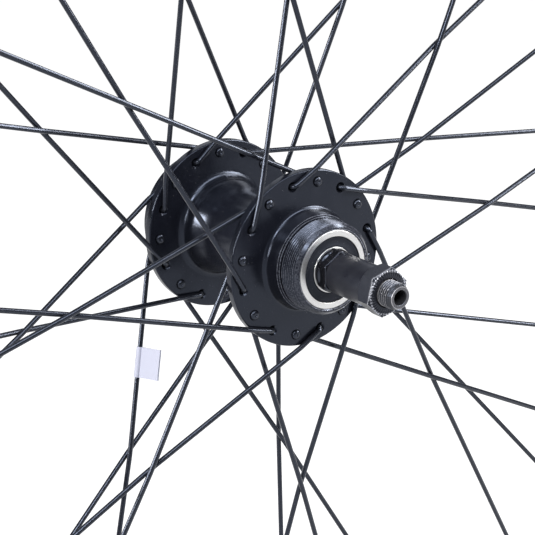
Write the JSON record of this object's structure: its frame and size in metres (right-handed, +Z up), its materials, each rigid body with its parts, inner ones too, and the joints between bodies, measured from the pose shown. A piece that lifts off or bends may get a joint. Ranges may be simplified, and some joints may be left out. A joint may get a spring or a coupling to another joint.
{
  "type": "laced rear bicycle wheel",
  "caption": "Rear bicycle wheel without tyre: laced rim, disc-rotor hub with screw-on freewheel seat, cartridge bearings and hollow threaded axle.",
  "frame": {"origin": "centre of the wheel, on the axle's centre line in the middle of the over-locknut width", "axes": "+Y along the axle towards the left, disc side; -Y is the drive side; +Z up; the wheel turns about Y"},
  "size_m": [0.634, 0.148, 0.634],
  "materials": {
    "black_anodised": "satin black anodised aluminium, worn on the thread",
    "black_steel": "black oxide steel with worn edges",
    "bearing_steel": "ground bearing steel",
    "seal_rubber": "matt black rubber",
    "cage_plastic": "moulded nylon",
    "spoke_steel": "black coated stainless wire",
    "nipple_brass": "black plated brass",
    "rim_paint": "satin black rim",
    "tag_paper": "plain white paper"
  },
  "bodies": {
    "axle_group": {"axle": "black_steel", "drive_collar": "black_anodised", "drive_hex_spacer": "black_steel", "left_collar": "black_anodised", "left_locknut": "black_steel", "bearing_sleeve": "black_steel", "drive_bearing_inner_ring": "bearing_steel", "left_bearing_inner_ring": "bearing_steel"},
    "wheel": {"hub_shell": "black_anodised", "drive_bearing_outer_ring": "bearing_steel", "left_bearing_outer_ring": "bearing_steel", "drive_bearing_seals": "seal_rubber", "left_bearing_seals": "seal_rubber", "drive_outer_spokes": "spoke_steel", "drive_inner_spokes": "spoke_steel", "left_inner_spokes": "spoke_steel", "left_outer_spokes": "spoke_steel", "drive_nipples": "nipple_brass", "left_nipples": "nipple_brass", "rim": "rim_paint", "spoke_tag": "tag_paper"},
    "drive_ball_set": {"drive_bearing_balls": "bearing_steel", "drive_bearing_cage": "cage_plastic"},
    "left_ball_set": {"left_bearing_balls": "bearing_steel", "left_bearing_cage": "cage_plastic"}
  },
  "joints": [
    {"name": "wheel_spin", "type": "hinge", "parent": "axle_group", "child": "wheel", "pos_m": [0, 0, 0], "axis": [0, 1, 0], "continuous": true},
    {"name": "drive_balls_spin", "type": "hinge", "parent": "axle_group", "child": "drive_ball_set", "pos_m": [0, 0, 0], "axis": [0, 1, 0], "continuous": true},
    {"name": "left_balls_spin", "type": "hinge", "parent": "axle_group", "child": "left_ball_set", "pos_m": [0, 0, 0], "axis": [0, 1, 0], "continuous": true}
  ],
  "couplings": [
    {"joint": "drive_balls_spin", "follows": "wheel_spin", "ratio": 0.619},
    {"joint": "left_balls_spin", "follows": "wheel_spin", "ratio": 0.619}
  ]
}
